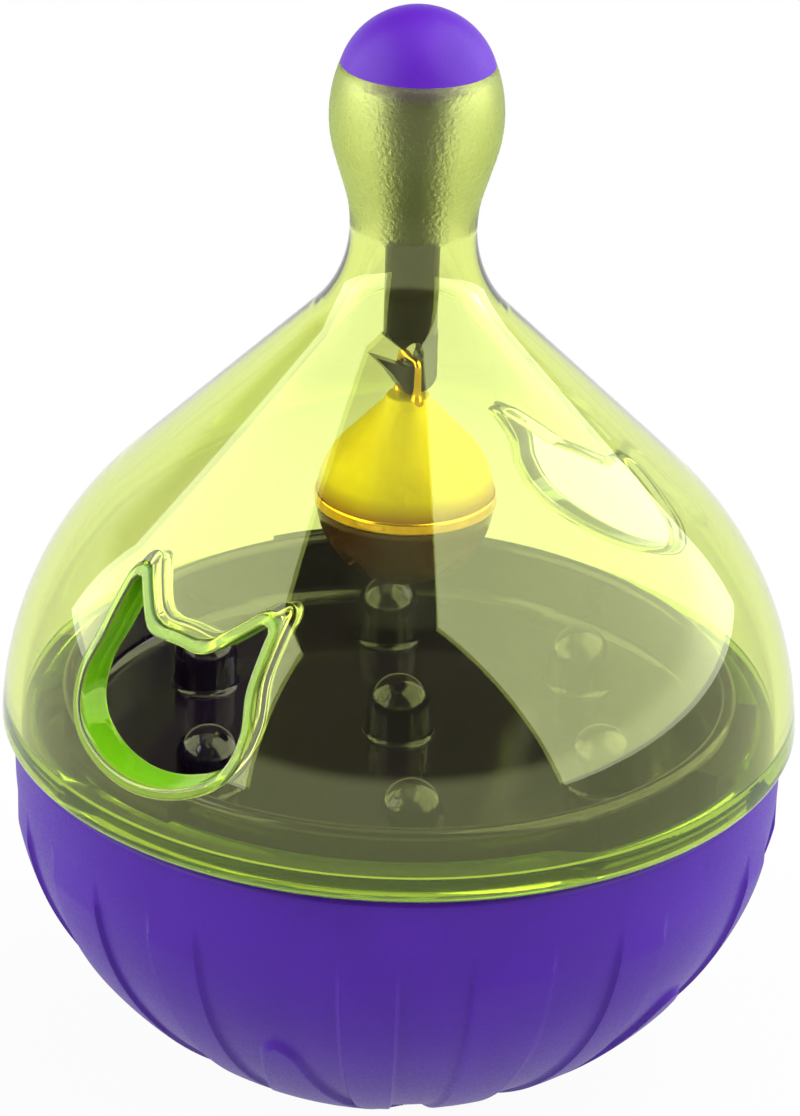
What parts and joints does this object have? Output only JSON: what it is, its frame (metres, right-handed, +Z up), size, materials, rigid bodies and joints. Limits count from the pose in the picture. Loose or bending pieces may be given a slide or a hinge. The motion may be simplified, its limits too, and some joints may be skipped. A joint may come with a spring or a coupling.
{
  "type": "treat ball",
  "caption": "Self-righting treat ball for cats: weighted ribbed bowl, peg tray, clear onion-shaped twist-on dome with cat-head treat holes, and a jingle bell hung inside.",
  "frame": {"origin": "middle of the flat foot, on the floor that the toy stands on", "axes": "+Z up along the toy's axis of turn; the two treat holes face -Y and +Y"},
  "size_m": [0.0851, 0.0852, 0.1206],
  "materials": {
    "bowl_plastic": "satin purple moulding",
    "weight_steel": "plain turned steel",
    "screw_steel": "zinc plated",
    "tray_plastic": "glossy purple moulding",
    "clear_plastic": "clear yellow-green moulding, frosted inside the knob",
    "cap_plastic": "satin purple moulding",
    "post_plastic": "dark purple moulding",
    "bell_brass": "gold plated, mirror polish",
    "loop_brass": "gold plated wire",
    "pellet_iron": "plain ball"
  },
  "bodies": {
    "base": {"bowl": "bowl_plastic", "counterweight": "weight_steel", "weight_screw": "screw_steel", "tray": "tray_plastic"},
    "dome": {"dome": "clear_plastic", "dome_neck": "clear_plastic", "cap": "cap_plastic", "bell_post": "post_plastic"},
    "bell": {"bell_shell": "bell_brass", "bell_loop": "loop_brass"},
    "pellet": {"bell_pellet": "pellet_iron"}
  },
  "joints": [
    {"name": "dome_twist", "type": "hinge", "parent": "base", "child": "dome", "pos_m": [0, 0, 0.0412], "axis": [0, 0, 1], "range_deg": [0, 24]},
    {"name": "bell_swing", "type": "hinge", "parent": "dome", "child": "bell", "pos_m": [0, 0, 0.08225], "axis": [-0.9397, 0.342, 0], "range_deg": [-40, 40]},
    {"name": "pellet_roll", "type": "hinge", "parent": "bell", "child": "pellet", "pos_m": [0, 0, 0.06655], "axis": [-0.9397, 0.342, 0], "range_deg": [-40, 40]}
  ]
}
